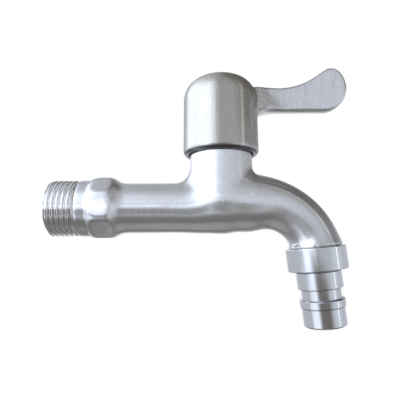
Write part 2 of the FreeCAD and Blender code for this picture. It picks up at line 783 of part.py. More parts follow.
def cut_hexagon(body):
    sketch = new_sketch(body, "XY_Plane", "hexagon_outline", (ON_AXIS, ON_AXIS, FLANGE_TOP))
    draw_circle(sketch, f"{cell('hex_across')} / 2 + 4")
    reach = f"{cell('hex_across')} / 2 / cos(30)"
    corners = [(f"{reach} * cos({a})", f"{reach} * sin({a})") for a in range(0, 360, 60)]
    add_ring_polygon(sketch, corners, sketch.GeometryCount)
    return pushed(body, "Pocket", "hexagon", sketch, cell("hex_run"))


def make_fixed_disc(doc):
    body = new_body(doc, "fixed_disc")
    stand_on_handle_axis(body)
    thick = cell("disc_thickness")
    sketch = new_sketch(body, "XY_Plane", "disc_outline", (ON_AXIS, ON_AXIS, DISC_FOOT))
    draw_circle(sketch, DISC_RADIUS)
    pushed(body, "Pad", "disc", sketch, thick)
    add_bar(body, "Pad", "ears", EAR_RADIUS, f"{cell('ear_width')} / 2",
            DISC_FOOT, thick)
    for count, middle in enumerate(("90", "270"), start=1):
        cut_sector(body, f"port_{count}", cell("port_inner_radius"),
                   PORT_OUTER, middle, cell("port_angle"),
                   DISC_FOOT, thick)
    return body


def make_moving_disc(doc):
    body = new_body(doc, "moving_disc")
    stand_on_handle_axis(body)
    thick = cell("disc_thickness")
    sketch = new_sketch(body, "XY_Plane", "disc_outline", (ON_AXIS, ON_AXIS, DISC_MEET))
    draw_circle(sketch, DISC_RADIUS)
    pushed(body, "Pad", "disc", sketch, thick)
    for count, middle in enumerate(("0", "180"), start=1):
        cut_sector(body, f"opening_{count}", cell("disc_hub_radius"),
                   f"({DISC_RADIUS} + 1)", middle, cell("disc_lobe_angle"),
                   DISC_MEET, thick)
    depth = cell("key_depth")
    add_bar(body, "Pocket", "key_slot", f"{cell('key_width')} / 2",
            f"{DISC_RADIUS} + 1", f"{DISC_TOP} - {depth}", depth)
    return body


def make_spindle(doc):
    """Tongue, foot, stop lug, two ring grooves, clip groove, splines, tapped hole."""
    body = new_body(doc, "spindle")
    stand_on_handle_axis(body)
    stem, foot = cell("spindle_radius"), FOOT_RADIUS
    barrel, groove = BARREL_RADIUS, RING_GROOVE
    first = FIRST_RING
    second = f"({first} + {cell('ring_pitch')})"
    run = cell("ring_groove_run")
    clip_foot = f"({BONNET_TOP} + 0.05)"
    clip_roof = f"({clip_foot} + {cell('clip_thickness')} + 0.1)"
    clip_groove, start = CLIP_GROOVE, SPLINE_START
    corners = [
        (ON_AXIS, DISC_TOP), (foot, DISC_TOP), (foot, FOOT_TOP), (barrel, FOOT_TOP),
        (barrel, GLIDE_FOOT), (stem, GLIDE_FOOT),
        (stem, first), (groove, first), (groove, f"{first} + {run}"),
        (stem, f"{first} + {run}"),
        (stem, second), (groove, second), (groove, f"{second} + {run}"),
        (stem, f"{second} + {run}"),
        (stem, clip_foot), (clip_groove, clip_foot), (clip_groove, clip_roof),
        (stem, clip_roof), (stem, start), (ON_AXIS, start),
    ]
    turned(body, "Revolution", "stem", corners)
    key_half = f"({cell('key_width')} / 2 - {cell('key_clearance')})"
    depth = f"({cell('key_depth')} - {cell('key_clearance')})"
    add_bar(body, "Pad", "tongue", key_half, f"{barrel}",
            f"{DISC_TOP} - {depth}", f"{depth} + 0.5")
    add_sector(body, "stop_lug", f"({barrel} - 1)", foot, "0", cell("stop_lug_angle"),
               f"({FOOT_TOP} - 0.2)", f"{cell('lug_run')} + 0.2")
    sketch = new_sketch(body, "XY_Plane", "splines_outline", (ON_AXIS, ON_AXIS, start))
    draw_splines(sketch, SPLINE_RADIUS, "0")
    pushed(body, "Pad", "splines", sketch, f"{SPINDLE_TOP} - {start}")
    hole = new_sketch(body, "XY_Plane", "tapped_hole_circle",
                      (ON_AXIS, ON_AXIS, SPINDLE_TOP))
    draw_circle(hole, f"{cell('screw_radius')} + {cell('thread_clearance')}")
    pushed(body, "Pocket", "tapped_hole", hole, f"{cell('screw_bite')} + 1", False)
    return body


def draw_splines(sketch, radius, gap):
    """Twenty teeth as a star outline, let out by a gap for the mating hole."""
    teeth = 20
    depth = cell("spline_depth")
    corners = []
    for tooth in range(teeth):
        for part, size in ((0.0, f"({radius} + {gap})"), (0.5, f"({radius} + {gap} - {depth})")):
            angle = (tooth + part) * 360 / teeth
            corners.append((f"{size} * cos({angle})", f"{size} * sin({angle})"))
    return draw_outline(sketch, corners)


def make_glide_washer(doc):
    inner = f"({cell('spindle_radius')} + {cell('spindle_clearance')})"
    return ring_body(doc, "glide_washer", inner, BARREL_RADIUS,
                     GLIDE_FOOT, SHOULDER)


def make_o_ring(doc, label, groove_foot):
    """Round ring in the middle of its groove, a hair clear of groove and bore."""
    body = new_body(doc, label)
    stand_on_handle_axis(body)
    thick = RING_THICKNESS
    bore = f"({cell('spindle_radius')} + {cell('spindle_clearance')})"
    middle = f"(({RING_GROOVE} + {bore}) / 2)"
    height = f"({groove_foot} + {cell('ring_groove_run')} / 2)"
    sketch = new_sketch(body, "XZ_Plane", label + "_circle")
    draw_circle(sketch, f"{thick} / 2", (middle, height))
    ring = body.newObject("PartDesign::Revolution", label + "_turn")
    ring.Profile = sketch
    ring.ReferenceAxis = (sketch, ["V_Axis"])
    ring.Angle = 360
    return body


def make_spindle_clip(doc):
    """Open ring that snaps in the groove above the bonnet."""
    body = new_body(doc, "spindle_clip")
    stand_on_handle_axis(body)
    foot, thick = f"({BONNET_TOP} + 0.1)", cell("clip_thickness")
    inner = f"({CLIP_GROOVE} + {cell('thread_clearance')})"
    outer = cell("clip_radius")
    add_ring(body, "clip_ring", inner, outer, foot, f"({foot} + {thick})")
    sketch = new_sketch(body, "XY_Plane", "mouth_outline", (ON_AXIS, ON_AXIS, foot))
    half = f"{cell('clip_mouth')} / 2"
    corners = [(ON_AXIS, f"-{half}"), (f"{outer} + 1", f"-{half}"),
               (f"{outer} + 1", half), (ON_AXIS, half)]
    draw_outline(sketch, corners)
    pushed(body, "Pocket", "mouth", sketch, thick)
    return body


def make_spline_insert(doc):
    body = new_body(doc, "spline_insert")
    stand_on_handle_axis(body)
    foot = f"({BONNET_ROOF} + 0.5)"
    add_ring(body, "barrel", "1.5", INSERT_RADIUS, foot, INSERT_TOP)
    sketch = new_sketch(body, "XY_Plane", "splines_outline", (ON_AXIS, ON_AXIS, foot))
    draw_splines(sketch, SPLINE_RADIUS, "0.06")
    pushed(body, "Pocket", "splines", sketch, f"{INSERT_TOP} - {foot}")
    return body


def make_screw_washer(doc):
    return ring_body(doc, "screw_washer", cell("screw_hole_radius"), WASHER_RADIUS,
                     WEB_TOP, WASHER_TOP)


def make_handle_screw(doc):
    """Pan head with a cross recess."""
    body = new_body(doc, "handle_screw")
    stand_on_handle_axis(body)
    head, shank = cell("screw_head_radius"), cell("screw_radius")
    end = f"({SPINDLE_TOP} - {cell('screw_bite')})"
    corners = [
        (ON_AXIS, end), (f"{shank} - 0.5", end), (shank, f"{end} + 0.5"),
        (shank, WASHER_TOP), (head, WASHER_TOP),
        (head, f"{HEAD_TOP} - 0.6"), (f"{head} - 0.6", HEAD_TOP), (ON_AXIS, HEAD_TOP),
    ]
    turned(body, "Revolution", "screw", corners, "V_Axis", {5: ("0.6", True)})
    recess = 1.3
    for name, half_x, half_y in (("recess_across", "1.9", "0.4"), ("recess_along", "0.4", "1.9")):
        add_bar(body, "Pocket", name, half_x, half_y, f"{HEAD_TOP} - {recess}", f"{recess}")
    return body


def crown_height(radius):
    """Height of the dome's crown at a radius from the handle axis."""
    crown = cell("dome_crown")
    return f"({DOME_TOP} - {crown} + sqrt({crown} ^ 2 - ({radius}) ^ 2))"


def make_screw_cap(doc):
    body = new_body(doc, "screw_cap")
    stand_on_handle_axis(body)
    radius = CAP_RADIUS
    corners = [(ON_AXIS, CAP_FOOT), (radius, CAP_FOOT), (radius, crown_height(radius)),
               (ON_AXIS, DOME_TOP)]
    turned(body, "Revolution", "cap", corners, "V_Axis", {2: (cell("dome_crown"), True)})
    return body


def add_lever(body):
    """Flat blade in the XZ plane, its outline rounded at the nose and hollow above."""
    foot, reach = LEVER_BOTTOM, LEVER_REACH
    tip, nose = cell("lever_tip_radius"), cell("lever_nose_radius")
    turn, slope = cell("lever_nose_angle"), cell("lever_slope")
    hollow = cell("lever_hollow_radius")
    nose_x = f"({reach} + ({tip} - {nose}) * cos({turn}))"
    nose_z = f"({foot} + {tip} + ({tip} - {nose}) * sin({turn}))"
    tip_end = (f"{nose_x} + {nose} * cos({turn})", f"{nose_z} + {nose} * sin({turn})")
    nose_end = (f"({nose_x} - {nose} * sin({slope}))", f"({nose_z} + {nose} * cos({slope}))")
    hollow_z = f"({LEVER_WAIST} + {hollow} * (1 - cos({slope})))"
    hollow_x = f"({nose_end[0]} - ({nose_end[1]} - {hollow_z}) / tan({slope}))"
    start = LEVER_START
    corners = [
        (start, foot),
        (reach, foot),
        tip_end,
        nose_end,
        (hollow_x, hollow_z),
        (f"{hollow_x} - {hollow} * sin({slope})", LEVER_WAIST),
        (start, LEVER_ROOT_TOP),
    ]
    arcs = {1: (tip, True), 2: (nose, True), 4: (hollow, False)}
    sketch = new_sketch(body, "XZ_Plane", "lever_outline")
    draw_outline(sketch, corners, arcs)
    lever = pushed(body, "Pad", "lever", sketch, cell("lever_thickness"), True, True)
    inner = max(number(body, SKIRT_RADIUS), number(body, DOME_RADIUS)) + 1.0
    side = number(body, cell("lever_thickness")) / 2

    def on_rim(edge):
        box = edge.BoundBox
        flat = box.YMax - box.YMin < 0.01
        return flat and abs(abs(box.YMax) - side) < 0.01 and box.XMax > inner
    return rounded(body, "Fillet", "lever_edges", lever, on_rim, cell("lever_edge"))


def add_dome(body):
    """Skirt and dome, still solid."""
    skirt, lip = SKIRT_RADIUS, cell("skirt_lip")
    foot, side = SKIRT_BOTTOM, DOME_RADIUS
    corner, crown, top = cell("dome_corner"), cell("dome_crown"), DOME_TOP
    crown_centre = f"({top} - {crown})"
    spread = f"({side} - {corner})"
    rise = f"sqrt(({crown} - {corner}) ^ 2 - {spread} ^ 2)"
    touch = f"{crown} / ({crown} - {corner})"
    corners = [
        (ON_AXIS, foot),
        (f"{skirt} - {lip}", foot),
        (skirt, f"{foot} + {lip}"),
        (side, f"{crown_centre} + {rise}"),
        (f"{spread} * {touch}", f"{crown_centre} + {rise} * {touch}"),
        (ON_AXIS, top),
    ]
    arcs = {1: (lip, True), 3: (corner, True), 4: (crown, True)}
    dome = turned(body, "Revolution", "dome", corners, "V_Axis", arcs, None, "YZ_Plane")
    dome.Refine = False
    return dome


def add_lever_root(body):
    """Gusset between dome and lever, wide at the dome and low down."""
    inset = cell("lever_root_inset")
    foot, roof = LEVER_BOTTOM, LEVER_WAIST
    thin = f"({cell('lever_thickness')} / 2 - 0.05)"
    ends = [
        ("near", LEVER_START, f"{cell('lever_root_foot_width')} / 2",
         f"{cell('lever_root_top_width')} / 2", foot, f"{roof} - 0.3"),
        ("far", LEVER_ROOT_END, f"{thin} - {inset} / 2", thin,
         f"{foot} + {inset} / 2", f"{roof} - {inset}"),
    ]
    sections = []
    for name, x, low_half, high_half, low, high in ends:
        sketch = new_sketch(body, "YZ_Plane", "root_" + name, (ON_AXIS, ON_AXIS, x))
        corners = [(f"-({low_half})", low), (low_half, low),
                   (high_half, high), (f"-({high_half})", high)]
        sections.append(draw_outline(sketch, corners))
    root = lofted(body, "AdditiveLoft", "lever_root", sections)
    root.Refine = False
    return root


def add_underside_blend(body):
    """Cove under the lever, following the skirt round to both sides."""
    side, foot = DOME_RADIUS, LEVER_BOTTOM
    cove = cell("lever_underside_blend")
    corners = [
        (f"{side} - 1.5", f"{foot} - {cove}"),
        (side, f"{foot} - {cove}"),
        (f"{side} + {cove}", foot),
        (f"{side} + {cove}", f"{foot} + 0.3"),
        (f"{side} - 1.5", f"{foot} + 0.3"),
    ]
    sketch = new_sketch(body, "XZ_Plane", "underside_outline")
    draw_outline(sketch, corners, {1: (cove, False)})
    feature = body.newObject("PartDesign::Revolution", "underside_blend")
    feature.Profile = sketch
    feature.ReferenceAxis = (sketch, ["V_Axis"])
    feature.Midplane = True
    feature.setExpression("Angle", cell("lever_underside_spread"))
    feature.Refine = False
    return feature


def hollow_handle(body):
    """Room for neck, bonnet, insert, screw and cap."""
    bore, insert = SKIRT_BORE, INSERT_RADIUS
    room, roof = BONNET_ROOM, BONNET_ROOF
    socket = f"({insert} + {cell('insert_clearance')})"
    cap = f"({CAP_RADIUS} + {cell('cap_clearance')})"
    above = f"({DOME_TOP} + 1)"
    below = f"({SKIRT_BOTTOM} - 1)"
    screw = cell("screw_hole_radius")
    inner = f"({CAP_RADIUS} - {cell('cap_ledge')})"
    corners = [
        (ON_AXIS, below), (bore, below), (bore, SKIRT_ROOF),
        (room, SKIRT_ROOF), (room, roof), (socket, roof),
        (socket, INSERT_TOP), (screw, INSERT_TOP), (screw, WEB_TOP),
        (inner, WEB_TOP), (inner, CAP_FOOT), (cap, CAP_FOOT), (cap, above),
        (ON_AXIS, above),
    ]
    rooms = turned(body, "Groove", "rooms", corners, "V_Axis", None, None, "YZ_Plane")
    rooms.Refine = False
    return rooms


def make_handle(doc):
    body = new_body(doc, "handle")
    stand_on_handle_axis(body)
    add_dome(body)
    add_lever(body)
    add_lever_root(body)
    add_underside_blend(body)
    hollow_handle(body)
    return body


def check_and_write(doc):
    for item in doc.Objects:
        if "Invalid" in item.State or "Error" in item.State:
            raise RuntimeError(f"{item.Name} did not build: {item.State}")
    bodies = [item for item in doc.Objects if item.isDerivedFrom("PartDesign::Body")]
    for body in bodies:
        shape = body.Shape
        if shape.isNull() or not shape.isValid() or len(shape.Solids) != 1:
            raise RuntimeError(f"{body.Label} is not one good solid")
    os.makedirs(OUTPUT, exist_ok=True)
    for body in bodies:
        body.Shape.exportStep(os.path.join(OUTPUT, body.Label + ".step"))
        print(body.Label, round(body.Shape.Volume, 1))


def main():
    doc = FreeCAD.newDocument("washing_machine_tap")
    make_sheet(doc)
    make_tap_body(doc)
    make_hose_nozzle(doc)
    make_nozzle_gasket(doc)
    make_cartridge_housing(doc)
    make_housing_gasket(doc)
    make_seat_seal(doc)
    make_fixed_disc(doc)
    make_moving_disc(doc)
    make_spindle(doc)
    make_glide_washer(doc)
    first = FIRST_RING
    make_o_ring(doc, "lower_o_ring", first)
    make_o_ring(doc, "upper_o_ring", f"({first} + {cell('ring_pitch')})")
    make_spindle_clip(doc)
    make_handle(doc)
    make_spline_insert(doc)
    make_screw_washer(doc)
    make_handle_screw(doc)
    make_screw_cap(doc)
    doc.recompute()
    check_and_write(doc)


main()
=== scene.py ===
import math

import bmesh
import bpy
from mathutils import Matrix, Vector


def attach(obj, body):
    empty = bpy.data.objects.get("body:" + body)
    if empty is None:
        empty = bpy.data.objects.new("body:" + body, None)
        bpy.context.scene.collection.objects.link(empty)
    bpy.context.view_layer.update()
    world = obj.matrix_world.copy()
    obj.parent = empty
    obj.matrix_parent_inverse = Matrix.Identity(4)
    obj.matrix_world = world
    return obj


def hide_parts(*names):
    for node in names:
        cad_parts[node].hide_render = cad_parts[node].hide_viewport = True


# Washing machine tap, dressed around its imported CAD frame. Its sizes are in
# millimetres, and those of the lamps and the floor in metres
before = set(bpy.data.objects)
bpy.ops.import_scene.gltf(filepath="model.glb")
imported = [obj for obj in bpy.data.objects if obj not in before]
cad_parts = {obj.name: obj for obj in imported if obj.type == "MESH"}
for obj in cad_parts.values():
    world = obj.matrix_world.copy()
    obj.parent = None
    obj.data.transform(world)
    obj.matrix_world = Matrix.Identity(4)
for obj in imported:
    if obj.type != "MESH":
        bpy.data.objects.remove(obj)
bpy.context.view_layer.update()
mm = 0.001
handleAxis = 55.5  # X of the axis that the handle turns on
smoothFactor = 0.5  # share of the way to its neighbours that a point moves each step


def clamped(value):
    return min(max(value, 0.0), 1.0)


def eased(share):
    return share * share * (3.0 - 2.0 * share)


def clearSelection():
    if bpy.context.mode != "OBJECT":
        bpy.ops.object.mode_set(mode="OBJECT")
    bpy.ops.object.select_all(action="DESELECT")


def pick(piece):
    clearSelection()
    piece.select_set(True)
    bpy.context.view_layer.objects.active = piece


def applyAll(piece):
    pick(piece)
    for modifier in list(piece.modifiers):
        bpy.ops.object.modifier_apply(modifier=modifier.name)


def softShade(piece, degrees):
    pick(piece)
    bpy.ops.object.shade_smooth_by_angle(angle=math.radians(degrees))


def settle(piece):
    # place and size go into the mesh, as on a CAD node
    pick(piece)
    bpy.ops.object.transform_apply(location=True, rotation=True, scale=True)


def finishPiece(piece, body, slotName, material, *nodes):
    piece.data.materials.clear()
    piece.data.materials.append(material)
    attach(piece, body)
    if nodes:
        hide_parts(*nodes)


def copyOfNode(nodeName, pieceName):
    # the CAD mesh is loose triangles, so the copy is merged first
    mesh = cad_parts[nodeName].data.copy()
    mesh.name = pieceName
    piece = bpy.data.objects.new(pieceName, mesh)
    bpy.context.scene.collection.objects.link(piece)
    pick(piece)
    bpy.ops.object.mode_set(mode="EDIT")
    bpy.ops.mesh.select_all(action="SELECT")
    bpy.ops.mesh.remove_doubles(threshold=0.002 * mm)
    bpy.ops.object.mode_set(mode="OBJECT")
    return piece


def cutAway(piece, place, normal):
    # takes off what lies on the normal's side of the plane
    pick(piece)
    bpy.ops.object.mode_set(mode="EDIT")
    bpy.ops.mesh.select_all(action="SELECT")
    bpy.ops.mesh.bisect(plane_co=place, plane_no=normal, clear_outer=True)
    bpy.ops.object.mode_set(mode="OBJECT")


def evenMesh(piece, voxel, steps):
    # regular quads take smooth shading better than the CAD's long triangles
    remesh = piece.modifiers.new("even", "REMESH")
    remesh.mode = "VOXEL"
    remesh.voxel_size = voxel * mm
    smooth = piece.modifiers.new("smooth", "SMOOTH")
    smooth.factor = smoothFactor
    smooth.iterations = steps
    applyAll(piece)


def smoothGroup(piece, group, steps, sideways=False):
    # sideways moves points along Y alone, so the outline seen from the side stays
    spread = piece.modifiers.new(group, "SMOOTH")
    spread.factor = smoothFactor
    spread.iterations = steps
    spread.vertex_group = group
    spread.use_x = spread.use_z = not sideways


# Shader building blocks

def addNode(tree, kind, **inputs):
    node = tree.nodes.new(kind)
    for key, value in inputs.items():
        if key in ("operation", "blend_type", "data_type", "interpolation_type"):
            setattr(node, key, value)
        else:
            node.inputs[key.replace("_", " ")].default_value = value
    return node


def feed(tree, socket, value):
    # a socket is linked, and a number, vector or colour is set
    if isinstance(value, bpy.types.NodeSocket):
        tree.links.new(value, socket)
    else:
        socket.default_value = value


def addMath(tree, operation, *values):
    node = addNode(tree, "ShaderNodeMath", operation=operation)
    for socket, value in zip(node.inputs, values):
        feed(tree, socket, value)
    return node.outputs[0]


def addVectorMath(tree, operation, *values):
    node = addNode(tree, "ShaderNodeVectorMath", operation=operation)
    for socket, value in zip(node.inputs, values):
        feed(tree, socket, value)
    givesNumber = operation in ("DOT_PRODUCT", "LENGTH")
    return node.outputs["Value" if givesNumber else "Vector"]


def addNoise(tree, place, scale, detail, roughness):
    noise = addNode(tree, "ShaderNodeTexNoise", Detail=detail, Roughness=roughness)
    feed(tree, noise.inputs["Vector"], place)
    feed(tree, noise.inputs["Scale"], scale)
    return noise.outputs["Fac"]


def plainStep(tree, value, low, high):
    # 0 at low and 1 at high, in a straight line between
    step = addNode(tree, "ShaderNodeMapRange", From_Min=low, From_Max=high)
    tree.links.new(value, step.inputs["Value"])
    return step.outputs["Result"]


def softStep(tree, value, low, high, rising=True):
    step = addNode(tree, "ShaderNodeMapRange", interpolation_type="SMOOTHSTEP",
                   From_Min=low, From_Max=high)
    step.inputs["To Min"].default_value = 0.0 if rising else 1.0
    step.inputs["To Max"].default_value = 1.0 if rising else 0.0
    tree.links.new(value, step.inputs["Value"])
    return step.outputs["Result"]


def mixColor(tree, factor, first, second, blend="MIX"):
    mix = addNode(tree, "ShaderNodeMix", data_type="RGBA", blend_type=blend)
    feed(tree, mix.inputs["Factor"], factor)
    feed(tree, mix.inputs[6], first)
    feed(tree, mix.inputs[7], second)
    return mix.outputs[2]


def newGroup(name, inputs, outputs):
    group = bpy.data.node_groups.new(name, "ShaderNodeTree")
    for label, kind, value in inputs:
        socket = group.interface.new_socket(name=label, in_out="INPUT", socket_type=kind)
        if value is not None:
            socket.default_value = value
    for label, kind in outputs:
        group.interface.new_socket(name=label, in_out="OUTPUT", socket_type=kind)
    given = group.nodes.new("NodeGroupInput").outputs
    result = group.nodes.new("NodeGroupOutput").inputs
    return group, given, result


skinOutputs = [("Color", "NodeSocketColor"), ("Roughness", "NodeSocketFloat"),
               ("Height", "NodeSocketFloat")]


def makeMetalSkinGroup():
    # polished or brushed metal: fine lines stretched by LineScale, slow waves and
    # faint stains, all on the place that is handed in
    group, given, result = newGroup(
        "metalSkin",
        [("Place", "NodeSocketVector", None),
         ("LineScale", "NodeSocketVector", (60.0, 900.0, 900.0)),
         ("LineDepth", "NodeSocketFloat", 0.3),
         ("WaveScale", "NodeSocketFloat", 90.0),
         ("WaveDepth", "NodeSocketFloat", 0.2),
         ("StainScale", "NodeSocketFloat", 55.0),
         ("BaseRoughness", "NodeSocketFloat", 0.2),
         ("RoughnessSwing", "NodeSocketFloat", 0.06),
         ("Grain", "NodeSocketFloat", 0.2),
         ("Tone", "NodeSocketColor", (0.66, 0.67, 0.69, 1)),
         ("StainTone", "NodeSocketColor", (0.6, 0.58, 0.56, 1))],
        skinOutputs)
    stretched = addVectorMath(group, "MULTIPLY", given["Place"], given["LineScale"])
    place = given["Place"]
    lines = addNoise(group, stretched, scale=1.0, detail=3.0, roughness=0.6)
    waves = addNoise(group, place, scale=given["WaveScale"], detail=1.5, roughness=0.4)
    stains = addNoise(group, place, scale=given["StainScale"], detail=4.0, roughness=0.55)
    stainMask = plainStep(group, stains, low=0.45, high=0.75)
    tone = mixColor(group, stainMask, given["Tone"], given["StainTone"])
    swing = addMath(group, "SUBTRACT", lines, 0.5)
    grain = addMath(group, "MULTIPLY_ADD", swing, given["Grain"], 1.0)
    feed(group, result["Color"], addVectorMath(group, "MULTIPLY", tone, grain))
    feed(group, result["Roughness"],
         addMath(group, "MULTIPLY_ADD", swing, given["RoughnessSwing"], given["BaseRoughness"]))
    lineHeight = addMath(group, "MULTIPLY", lines, given["LineDepth"])
    waveHeight = addMath(group, "MULTIPLY", waves, given["WaveDepth"])
    feed(group, result["Height"], addMath(group, "ADD", lineHeight, waveHeight))
    return group


def makePlainSkinGroup():
    # moulded, fired or drawn stuff: fine mottling in colour, gloss and height
    group, given, result = newGroup(
        "plainSkin",
        [("Place", "NodeSocketVector", None), ("Scale", "NodeSocketFloat", 400.0),
         ("Tone", "NodeSocketColor", (0.5, 0.5, 0.5, 1)),
         ("SecondTone", "NodeSocketColor", (0.4, 0.4, 0.4, 1)),
         ("BaseRoughness", "NodeSocketFloat", 0.5),
         ("RoughnessSwing", "NodeSocketFloat", 0.1)],
        skinOutputs)
    mottle = addNoise(group, given["Place"], given["Scale"], detail=4.0, roughness=0.6)
    feed(group, result["Color"], mixColor(group, mottle, given["Tone"], given["SecondTone"]))
    feed(group, result["Roughness"],
         addMath(group, "MULTIPLY_ADD", mottle, given["RoughnessSwing"], given["BaseRoughness"]))
    feed(group, result["Height"], mottle)
    return group


def startMaterial(name, group, look):
    # the skin group on Object coordinates, with its height through a bump
    material = bpy.data.materials.new(name)
    material.use_nodes = True
    tree = material.node_tree
    tree.nodes.clear()
    place = tree.nodes.new("ShaderNodeTexCoord").outputs
    skin = tree.nodes.new("ShaderNodeGroup")
    skin.node_tree = group
    for label, value in look["skin"].items():
        skin.inputs[label].default_value = value
    tree.links.new(place["Object"], skin.inputs["Place"])
    bump = addNode(tree, "ShaderNodeBump", Strength=look["bump"], Distance=look["bumpDistance"])
    tree.links.new(skin.outputs["Height"], bump.inputs["Height"])
    shader = tree.nodes.new("ShaderNodeBsdfPrincipled")
    tree.links.new(skin.outputs["Roughness"], shader.inputs["Roughness"])
    tree.links.new(bump.outputs["Normal"], shader.inputs["Normal"])
    output = tree.nodes.new("ShaderNodeOutputMaterial")
    tree.links.new(shader.outputs["BSDF"], output.inputs["Surface"])
    return material, place, skin.outputs["Color"], shader.inputs


def paintedShadeColor(tree, place, color, run):
    # painted shade: the colour is darkened along an axis where shade falls, in grooves and
    # corners, under the skirt's lip and over the dome. The tint is the share that each
    # colour takes, and underside keeps it to faces that look down
    length = run["stops"][-1][0]
    along = addVectorMath(tree, "DOT_PRODUCT", place["Object"], run["axis"])
    share = plainStep(tree, along, run["start"] * mm, (run["start"] + length) * mm)
    ramp = tree.nodes.new("ShaderNodeValToRGB")
    tree.links.new(share, ramp.inputs["Fac"])
    marks = ramp.color_ramp.elements
    marks[1].position = 1.0
    for distance, _ in run["stops"][1:-1]:
        marks.new(distance / length)
    for mark, (_, tone) in zip(marks, run["stops"]):
        mark.color = (*(1 - (1 - tone) * part for part in run["tint"]), 1)
    mask = ramp.outputs["Color"]
    if "underside" in run:
        facing = tree.nodes.new("ShaderNodeSeparateXYZ")
        tree.links.new(place["Normal"], facing.inputs[0])
        down = plainStep(tree, facing.outputs["Z"], *run["underside"])
        mask = mixColor(tree, down, (1, 1, 1, 1), mask)
    return mixColor(tree, 1.0, color, mask, blend="MULTIPLY")


coatIndex = 2.4  # the metals' gloss, a clear coat that reflects strongly


def makeMetal(name, group, look):
    material, place, color, shader = startMaterial(name, group, look)
    tree = material.node_tree
    # painted shade is laid into the base colour, run by run
    for run in look.get("runs", ()):
        color = paintedShadeColor(tree, place, color, run)
    tree.links.new(color, shader["Base Color"])
    shader["Metallic"].default_value = 1.0
    shader["Anisotropic"].default_value = look["anisotropic"]
    shader["Coat Weight"].default_value = look["gloss"]
    shader["Coat IOR"].default_value = coatIndex
    shader["Coat Roughness"].default_value = look["glossRoughness"]
    # reflections stretch across the polishing lines, which may turn along X
    split = tree.nodes.new("ShaderNodeSeparateXYZ")
    tree.links.new(place["Object"], split.inputs[0])
    turnStart, turnEnd = look["turn"]
    stretch = addNode(tree, "ShaderNodeMix", data_type="VECTOR")
    tree.links.new(plainStep(tree, split.outputs["X"], turnStart * mm, turnEnd * mm),
                   stretch.inputs["Factor"])
    stretch.inputs[4].default_value, stretch.inputs[5].default_value = look["stretch"]
    tree.links.new(stretch.outputs[1], shader["Tangent"])
    return material


def makePlain(name, group, look):
    material, _, color, shader = startMaterial(name, group, look)
    material.node_tree.links.new(color, shader["Base Color"])
    shader["Metallic"].default_value = look["metallic"]
    shader["Specular IOR Level"].default_value = look["shine"]
    return material


metalSkin = makeMetalSkinGroup()

bodySteel = makeMetal("bodySteel", metalSkin, {
    "skin": {"Tone": (0.74, 0.74, 0.745, 1), "StainTone": (0.69, 0.685, 0.68, 1),
             "BaseRoughness": 0.3, "RoughnessSwing": 0.12, "Grain": 0.5,
             "LineScale": (2600.0, 700.0, 700.0), "LineDepth": 1.0,
             "WaveScale": 110.0, "WaveDepth": 0.3},
    "bump": 0.35, "bumpDistance": 0.05 * mm, "anisotropic": 0.92,
    "gloss": 0.9, "glossRoughness": 0.06,
    "turn": (68.0, 94.0), "stretch": ((1.0, 0.0, 0.0), (0.0, 0.0, -1.0))})

# painted shade under the skirt's lip: its downward faces are painted dark, for the shade in the
# gap above the neck
lipPaintedShade = {"axis": (0, 0, 1), "start": 19.0, "tint": (1.0, 1.0, 0.97),
            "stops": ((0, 0.12), (1.6, 0.16), (2.8, 0.6), (4.0, 1.0), (6.0, 1.0)),
            "underside": (-0.25, -0.6)}
# painted shade on the dome: it is painted darker and warmer than the lever, for the darker
# reflection it shows
domePaintedShade = {"axis": (1, 0, 0), "start": 66.0, "tint": (0.88, 1.02, 1.24),
               "stops": ((0, 0.69), (2.5, 0.69), (6.0, 0.87), (14.0, 0.97), (40.0, 0.97))}
handleSteel = makeMetal("handleSteel", metalSkin, {
    "skin": {"Tone": (0.76, 0.765, 0.775, 1), "StainTone": (0.67, 0.66, 0.65, 1),
             "BaseRoughness": 0.26, "RoughnessSwing": 0.14, "Grain": 0.6,
             "LineScale": (3000.0, 3000.0, 220.0), "LineDepth": 1.0,
             "WaveScale": 70.0, "WaveDepth": 0.3},
    "bump": 0.35, "bumpDistance": 0.05 * mm, "anisotropic": 1.0,
    "gloss": 0.3, "glossRoughness": 0.08,
    "turn": (70.0, 71.5), "stretch": ((0.0, 0.0, 1.0), (1.0, 0.0, 0.0)),
    "runs": (lipPaintedShade, domePaintedShade)})

# painted shade in the nozzle's grooves and corners, measured along its axis
nozzlePaintedShade = {"axis": (0.097235, 0, -0.995261), "start": 23.449, "tint": (1.0, 1.0, 0.95),
                 "stops": ((0, 1.0), (8.2, 1.0), (8.5, 0.25), (9.15, 0.25), (9.35, 1.0),
                           (15.0, 1.0), (15.2, 0.3), (15.45, 0.35), (15.7, 1.0), (18.7, 1.0),
                           (19.0, 0.4), (19.25, 0.45), (19.5, 1.0), (21.7, 1.0), (21.9, 0.3),
                           (22.15, 0.35), (22.4, 1.0), (28.2, 1.0), (28.7, 0.5), (30.0, 0.5))}
nozzleSteel = makeMetal("nozzleSteel", metalSkin, {
    "skin": {"Tone": (0.62, 0.62, 0.62, 1), "StainTone": (0.62, 0.61, 0.6, 1),
             "BaseRoughness": 0.1, "RoughnessSwing": 0.04, "Grain": 0.3,
             "LineScale": (300.0, 300.0, 5200.0), "LineDepth": 0.8,
             "WaveScale": 60.0, "WaveDepth": 0.1},
    "bump": 0.1, "bumpDistance": 0.04 * mm, "anisotropic": 0.7,
    "gloss": 0.8, "glossRoughness": 0.03,
    "turn": (0.0, 1.0), "stretch": ((0.097, 0.0, -0.995), (0.097, 0.0, -0.995)),
    "runs": (nozzlePaintedShade,)})

